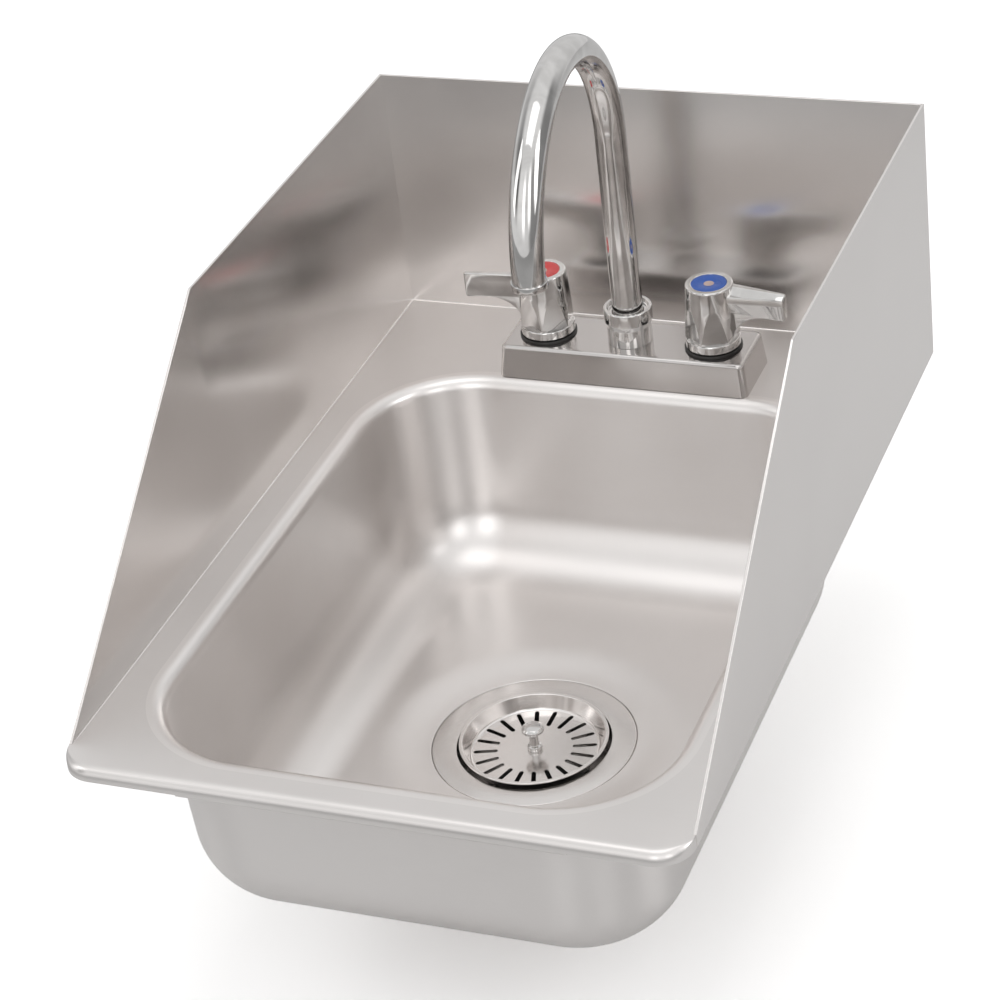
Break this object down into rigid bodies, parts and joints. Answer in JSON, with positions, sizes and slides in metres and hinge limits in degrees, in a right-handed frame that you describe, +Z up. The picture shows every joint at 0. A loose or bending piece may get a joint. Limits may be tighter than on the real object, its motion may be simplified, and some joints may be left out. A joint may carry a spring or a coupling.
{
  "type": "drop-in sink",
  "caption": "Small rectangular drop-in hand sink with side and back splash panels, gooseneck spout, lever handles and a lift-out strainer basket.",
  "frame": {"origin": "middle of the rim's front edge, at the height of the worktop that the rim rests on", "axes": "+Z up, +Y from the user towards the backsplash, +X to the user's right"},
  "size_m": [0.33, 0.483, 0.4207],
  "materials": {
    "rim_steel": "brushed stainless steel",
    "bowl_steel": "satin stainless steel",
    "panel_steel": "brushed stainless steel",
    "rail_steel": "plain rolled steel",
    "drain_steel": "polished stainless steel",
    "basket_steel": "stamped stainless steel",
    "nut_metal": "cast zinc, dull",
    "black_rubber": "moulded",
    "red_fibre": "pressed fibre",
    "shroud_steel": "brushed stainless steel",
    "raw_brass": "machined",
    "faucet_chrome": "polished",
    "dark_plastic": "moulded",
    "red_plastic": "glossy",
    "blue_plastic": "glossy",
    "screw_steel": "plain",
    "white_plastic": "moulded"
  },
  "bodies": {
    "basin": {"sink_rim": "rim_steel", "sink_bowl": "bowl_steel", "backsplash": "panel_steel", "left_side_splash": "panel_steel", "right_side_splash": "panel_steel", "front_rail": "rail_steel", "back_rail": "rail_steel", "left_rail": "rail_steel", "right_rail": "rail_steel", "strainer_body": "drain_steel", "strainer_outlet": "nut_metal", "strainer_gasket": "black_rubber", "friction_ring": "red_fibre", "strainer_locknut": "nut_metal", "faucet_gasket": "black_rubber", "valve_body": "raw_brass", "faucet_shroud": "shroud_steel", "hot_shank": "raw_brass", "hot_shank_washer": "black_rubber", "hot_shank_nut": "raw_brass", "hot_cartridge": "raw_brass", "hot_seat_ring": "dark_plastic", "cold_shank": "raw_brass", "cold_shank_washer": "black_rubber", "cold_shank_nut": "raw_brass", "cold_cartridge": "raw_brass", "cold_seat_ring": "dark_plastic", "spout_nut": "faucet_chrome"},
    "basket": {"basket_cup": "basket_steel", "basket_post": "basket_steel", "basket_knob": "basket_steel", "stopper_seal": "black_rubber"},
    "hot_lever": {"hot_handle": "faucet_chrome", "hot_index": "red_plastic", "hot_stem": "raw_brass", "hot_handle_screw": "screw_steel"},
    "cold_lever": {"cold_handle": "faucet_chrome", "cold_index": "blue_plastic", "cold_stem": "raw_brass", "cold_handle_screw": "screw_steel"},
    "spout": {"spout_tube": "faucet_chrome", "spout_bush": "raw_brass", "spout_o_ring_lower": "black_rubber", "spout_o_ring_upper": "black_rubber", "outlet_ring": "faucet_chrome", "flow_straightener": "white_plastic"}
  },
  "joints": [
    {"name": "spout_swivel", "type": "hinge", "parent": "basin", "child": "spout", "pos_m": [0, 0.4245, 0.04], "axis": [0, 0, 1], "range_deg": [-64, 56]},
    {"name": "hot_turn", "type": "hinge", "parent": "basin", "child": "hot_lever", "pos_m": [-0.0508, 0.4245, 0.04], "axis": [0, 0, 1], "range_deg": [0, 90]},
    {"name": "cold_turn", "type": "hinge", "parent": "basin", "child": "cold_lever", "pos_m": [0.0508, 0.4245, 0.04], "axis": [0, 0, -1], "range_deg": [0, 90]},
    {"name": "basket_lift", "type": "slide", "parent": "basin", "child": "basket", "axis": [0, 0, 1], "range_m": [0, 0.05]}
  ]
}
